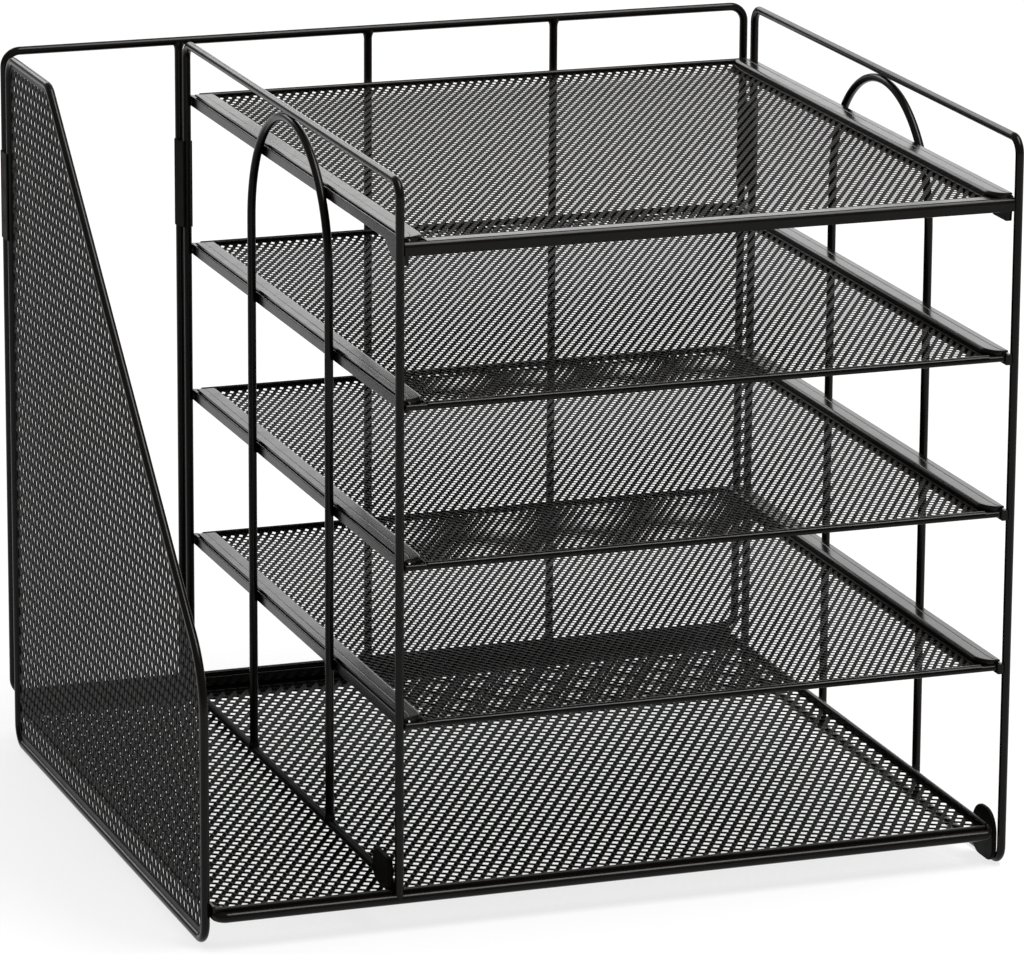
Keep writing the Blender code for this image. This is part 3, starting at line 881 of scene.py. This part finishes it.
def ear_outline(front, low, high, bends):
    """A tab with its own bend at each corner, from the back top corner round by the front."""
    near = FRONT_Y + front
    far = near + EAR_WIDTH
    corners = [(far, high, -1, -1), (near, high, 1, -1), (near, low, 1, 1), (far, low, -1, 1)]
    outline = []
    for turn, (along, up, way_along, way_up) in enumerate(corners):
        bend = bends[turn]
        middle = Vector((along + way_along * bend, up + way_up * bend))
        outline += arc(middle, bend, math.pi / 2 * turn, math.pi / 2 * (turn + 1))
    return outline


def make_ear(node_name, post_x, front, low, high, bends):
    """A tab beside a post."""
    outer = post_x - WIRE_R
    outline = ear_outline(front, low, high, bends)
    shape = slab(outline, outer - EAR_THICK - GAP, outer, stand_side, EAR_EDGE, segments=3)
    # The less glossy coat renders the ear darker than the other sheet.
    finish(node_name, shape, "sheet_coat", coat=LOW_GLOSS_AND_PAINTED_SHADE_COAT)


def make_ears():
    make_ear("ear_right", RIGHT_X, *EAR_RIGHT)
    make_ear("ear_divider", DIVIDER_X, *EAR_DIVIDER)


def make_clip(node_name, first, second):
    """A sleeve round the second wire with an open mouth that snaps onto the first."""
    one = Vector(first)
    two = Vector(second)
    heading = math.atan2(two.y - one.y, two.x - one.x)
    bore = WIRE_R + CLIP_PLAY
    outer = WIRE_R + CLIP_WALL
    mouth = math.pi - math.radians(CLIP_MOUTH)
    quarter = math.pi / 2
    outline = arc(two, outer, heading - quarter, heading + quarter, CLIP_STEPS)
    outline += arc(one, outer, heading + quarter, heading + mouth, CLIP_STEPS)
    outline += arc(one, bore, heading + mouth, heading - mouth, CLIP_STEPS)
    outline += arc(one, outer, heading - mouth, heading - quarter, CLIP_STEPS)
    shape = slab(outline, CLIP_LOW_Z, CLIP_HIGH_Z, lay_flat)
    # The less glossy coat renders the clip darker than the wires.
    finish(node_name, shape, "sheet_coat", coat=LOW_GLOSS_AND_PAINTED_SHADE_COAT)


def make_clips():
    make_clip("clip_left", (PANEL_X, PANEL_BACK_Y), (PANEL_X, BACK_Y))
    make_clip("clip_divider", (DIVIDER_X, POST_Y), (DIVIDER_X - UPRIGHT_SHIFT, BACK_Y))
    make_clip("clip_right", (RIGHT_X, POST_Y), (RIGHT_X - LOOP_SIDE_SHIFT, BACK_Y))


# Tiers

def tier_z(tier):
    return TOP_FLANGE_Z - (tier - 1) * TIER_PITCH


def make_fixed_rail(node_name, post_x, way, tier):
    high = tier_z(tier) - SHEET - GAP
    low = high - RAIL_HEIGHT
    front = FRONT_Y - WIRE_R
    if tier == 1 or way == 1:
        front = FRONT_Y + TRAY_WIRE_R + GAP
    back = POST_Y + WIRE_R
    outline = [(back, high), (front, high), (front, low)]
    if tier == 1:
        drop = high - GUSSET_DROP
        outline.append((FRONT_Y + GUSSET_FRONT, drop))
        outline.append((FRONT_Y + GUSSET_FLAT, drop))
        outline.append((FRONT_Y + GUSSET_BACK, low))
    outline.append((back, low))
    outer = post_x + way * (WIRE_R - RAIL_BITE)
    inner = post_x + way * (WIRE_R + GAP + RAIL_THICK)
    shape = slab(outline, min(outer, inner), max(outer, inner), stand_side, RAIL_EDGE, segments=3)
    for along in (FRONT_Y + WIRE_R, POST_Y - WIRE_R):
        bead(shape, (outer + way * RAIL_BITE, along, high - RAIL_HEIGHT / 2), RAIL_BEAD)
    finish(node_name, shape, "sheet_coat")


def make_fixed_rails():
    for tier in TIERS:
        make_fixed_rail("rail_left_%d" % tier, DIVIDER_X, 1, tier)
        make_fixed_rail("rail_right_%d" % tier, RIGHT_X, -1, tier)


def make_tier_side(node_name, post_x, way, tier):
    """A folded edge: flange on the rail, web, and a ledge that holds the mesh."""
    top = tier_z(tier) - SHEET / 2
    front = FRONT_Y + TRAY_WIRE_R * FLANGE_UNDER
    back = TIER_BACK_Y - TRAY_WIRE_R * FLANGE_UNDER
    stations = []
    for step in range(BEND_STEPS + 1):
        angle = math.pi / 2 * step / BEND_STEPS
        along = front + FLANGE_CURVE * (1 - math.cos(angle))
        growth = (FLANGE_WIDTH - FLANGE_FRONT_WIDTH) * math.sin(angle)
        stations.append((along, FLANGE_FRONT_WIDTH + growth))
    stations.append((back, FLANGE_WIDTH))
    ledge = top - WEB_DROP
    outer = post_x + way * FLANGE_INSET
    rings = []
    for along, width in stations:
        edge = width - SHEET / 2
        groove = edge * GROOVE_AT
        line = [
            (0.0, top),
            (groove - GROOVE_HALF, top), (groove, top - GROOVE_DEPTH), (groove + GROOVE_HALF, top),
            (edge, top), (edge, ledge), (edge + SHEET / 2 + LEDGE_WIDTH, ledge),
        ]
        section = bent_sheet(line, GROOVE_BENDS + [SHEET_BEND, SHEET_BEND], SHEET)
        rings.append([Vector((outer + way * u, along, v)) for u, v in section])
    finish(node_name, loft(rings), "sheet_coat", TIER_SIDE_SMOOTH)


def tier_mesh_data():
    """The mesh floor that all tiers share, at the height of the top one."""
    reach = FLANGE_INSET + FLANGE_WIDTH + TIER_MESH_PLAY
    low_x = DIVIDER_X + reach
    high_x = RIGHT_X - reach
    low_y = FRONT_Y + STRIP_THICK / 2
    high_y = TIER_BACK_Y - TIER_MESH_BACK
    lift = tier_z(1) - WEB_DROP + GAP + MESH_SHEET / 2
    rise_from = high_y - BACK_RISE_LENGTH

    def ring_at(inset):
        stops = [low_y + inset * TIER_HEM_ENDS]
        for step in range(BACK_RISE_STEPS):
            stops.append(rise_from + BACK_RISE_LENGTH * step / BACK_RISE_STEPS)
        stops.append(high_y - inset * TIER_HEM_ENDS)
        right = [(high_x - inset, stop) for stop in stops]
        return right + [(low_x + inset, stop) for stop in reversed(stops)]

    def place(flat):
        across, along, proud = flat.T
        near = numpy.clip((along - rise_from) / BACK_RISE_LENGTH, 0.0, None)
        return numpy.stack([across, along, lift + proud + BACK_RISE * near ** 2], axis=1)

    outline = rectangle(low_x, high_x, low_y, high_y)
    anchor = ((low_x + high_x) / 2, high_y)
    parts = [expanded(outline, FINE, anchor), hem(ring_at, TIER_HEM, TIER_HEM_HALF)]
    return mesh_data("tier_mesh_coated", parts, place)


def run_across(shape, section, low_x, high_x):
    """Adds a bar with a section (y, z) that runs from side to side."""
    loft([[Vector((across, back, up)) for back, up in section] for across in (low_x, high_x)], shape)


def fold_over(shape, low_x, high_x, wire_z):
    """The sheet edge of a tray's mesh, rolled over the front wire."""
    section = []
    outside = (FOLD_R, FOLD_FROM, FOLD_TO)
    inside = (FOLD_R - FOLD_THICK, FOLD_TO, FOLD_FROM)
    for radius, start, end in (outside, inside):
        for step in range(FOLD_STEPS + 1):
            angle = math.radians(start + (end - start) * step / FOLD_STEPS)
            section.append((FRONT_Y + radius * math.cos(angle), wire_z + radius * math.sin(angle)))
    run_across(shape, section, low_x, high_x)


def make_tiers():
    normal = Vector((0, 1, 0))
    cut_ends = ("flat", "flat")
    shared = tier_mesh_data()
    left = DIVIDER_X + TIER_WIRE_END
    right = RIGHT_X - TIER_WIRE_END
    reach = FLANGE_INSET + FLANGE_WIDTH
    for tier in TIERS:
        prefix = "top_shelf" if tier == 1 else "tray_%d" % tier
        make_tier_side(prefix + "_left_edge", DIVIDER_X, 1, tier)
        make_tier_side(prefix + "_right_edge", RIGHT_X, -1, tier)
        put(prefix + "_mesh", shared, (1 - tier) * TIER_PITCH)
        wire_z = tier_z(tier) - TIER_BACK_DROP
        start = (left, TIER_BACK_Y, wire_z)
        end = (right, TIER_BACK_Y, wire_z)
        shape = straight(start, end, TRAY_WIRE_R, normal, cut_ends)
        finish(prefix + "_back_wire", shape, "wire_coat")
        if tier > 1:
            wire_z = tier_z(tier) - TIER_FRONT_DROP
            start = (DIVIDER_X + WIRE_R + GAP, FRONT_Y, wire_z)
            end = (right, FRONT_Y, wire_z)
            shape = straight(start, end, TRAY_WIRE_R, normal, cut_ends)
            fold_over(shape, DIVIDER_X + reach, RIGHT_X - reach, wire_z)
            finish(prefix + "_front_wire", shape, "wire_coat")


def make_front_strip():
    """The top shelf's front strip: rounded over at the front, with a flange to the mesh."""
    reach = FLANGE_INSET + FLANGE_WIDTH
    high = tier_z(1) - STRIP_DROP
    half = STRIP_THICK / 2
    foot = high - STRIP_HEIGHT
    centre = Vector((FRONT_Y + half, high - STRIP_THICK))
    outline = [(FRONT_Y - half, foot), (FRONT_Y + half, foot)]
    outline += arc(centre, STRIP_THICK, math.pi / 2, math.pi, STRIP_STEPS)
    shape = slab(outline, DIVIDER_X + WIRE_R, RIGHT_X - WIRE_R, stand_side, STRIP_EDGE)
    back = FRONT_Y + STRIP_FLANGE
    low = high - STRIP_FLANGE_THICK
    section = [
        (FRONT_Y, high), (back - STRIP_FLANGE_SOFT, high), (back, high - STRIP_FLANGE_SOFT / 2),
        (back, low), (FRONT_Y, low),
    ]
    run_across(shape, section, DIVIDER_X + reach, RIGHT_X - reach)
    finish("top_shelf_front_strip", shape, "sheet_coat")


# Stage

def rays_that_see(tree):
    """1 for rays that show the background: camera, glossy and transmission rays."""
    path = node(tree, "ShaderNodeLightPath")
    total = path.outputs["Is Camera Ray"]
    for name in ("Is Glossy Ray", "Is Transmission Ray"):
        add = node(tree, "ShaderNodeMath", operation="MAXIMUM")
        tree.links.new(total, add.inputs[0])
        tree.links.new(path.outputs[name], add.inputs[1])
        total = add.outputs[0]
    return total


def make_world():
    world = bpy.data.worlds.new("studio")
    bpy.context.scene.world = world
    world.use_nodes = True
    light = world.node_tree.nodes["Background"]
    light.inputs["Color"].default_value = WHITE
    light.inputs["Strength"].default_value = WORLD_STRENGTH


def make_floor():
    """A plain floor that shows white and still takes the object's shadow."""
    shape = bmesh.new()
    bmesh.ops.create_circle(shape, cap_ends=True, segments=FLOOR_SIDES, radius=FLOOR_R)
    mesh = bpy.data.meshes.new("floor")
    shape.to_mesh(mesh)
    shape.free()
    floor = bpy.data.objects.new("floor", mesh)
    bpy.context.scene.collection.objects.link(floor)
    material = bpy.data.materials.new("floor_white")
    material.use_nodes = True
    tree = material.node_tree
    shader = tree.nodes["Principled BSDF"]
    shader.inputs["Base Color"].default_value = FLOOR_GREY
    shader.inputs["Roughness"].default_value = FLOOR_ROUGHNESS
    shader.inputs["Specular IOR Level"].default_value = FLOOR_SPECULAR
    shader.inputs["Emission Color"].default_value = WHITE
    glow = spread(tree, rays_that_see(tree), 0.0, 1.0, 0.0, FLOOR_GLOW)
    tree.links.new(glow, shader.inputs["Emission Strength"])
    mesh.materials.append(material)


def make_lamp(name, place, size, power):
    """A soft lamp that faces the object and isn't seen itself."""
    data = bpy.data.lights.new(name, "AREA")
    data.shape = "ELLIPSE"
    data.size, data.size_y = size
    data.energy = power
    lamp = bpy.data.objects.new(name, data)
    bpy.context.scene.collection.objects.link(lamp)
    lamp.visible_camera = False
    back = (Vector(place) - LAMP_AIM).normalized()
    across = Vector((0, 1, 0)).cross(back).normalized()
    turn = Matrix((across, back.cross(across), back)).transposed()
    lamp.matrix_world = Matrix.Translation(place) @ turn.to_4x4()


def make_camera():
    data = bpy.data.cameras.new("camera")
    data.lens = LENS
    data.sensor_width = SENSOR
    data.sensor_fit = "HORIZONTAL"
    data.clip_end = CLIP_END
    camera = bpy.data.objects.new("camera", data)
    bpy.context.scene.collection.objects.link(camera)
    away = Vector((
        math.sin(YAW) * math.cos(PITCH), -math.cos(YAW) * math.cos(PITCH), math.sin(PITCH),
    ))
    side = (-away).cross(Vector((0, 0, 1))).normalized()
    up = side.cross(-away)
    turned_side = side * math.cos(ROLL) + up * math.sin(ROLL)
    turned_up = up * math.cos(ROLL) - side * math.sin(ROLL)
    turn = Matrix((turned_side, turned_up, away)).transposed()
    camera.matrix_world = Matrix.Translation(TARGET + away * DISTANCE) @ turn.to_4x4()
    bpy.context.scene.camera = camera


def make_stage():
    bpy.context.scene.view_settings.view_transform = "Standard"
    make_world()
    make_floor()
    for name, place, size, power in LAMPS:
        make_lamp(name, place, size, power)
    make_camera()


make_back_frame()
make_side_frames()
make_file_panel()
make_base()
make_ears()
make_clips()
make_fixed_rails()
make_tiers()
make_front_strip()
make_stage()
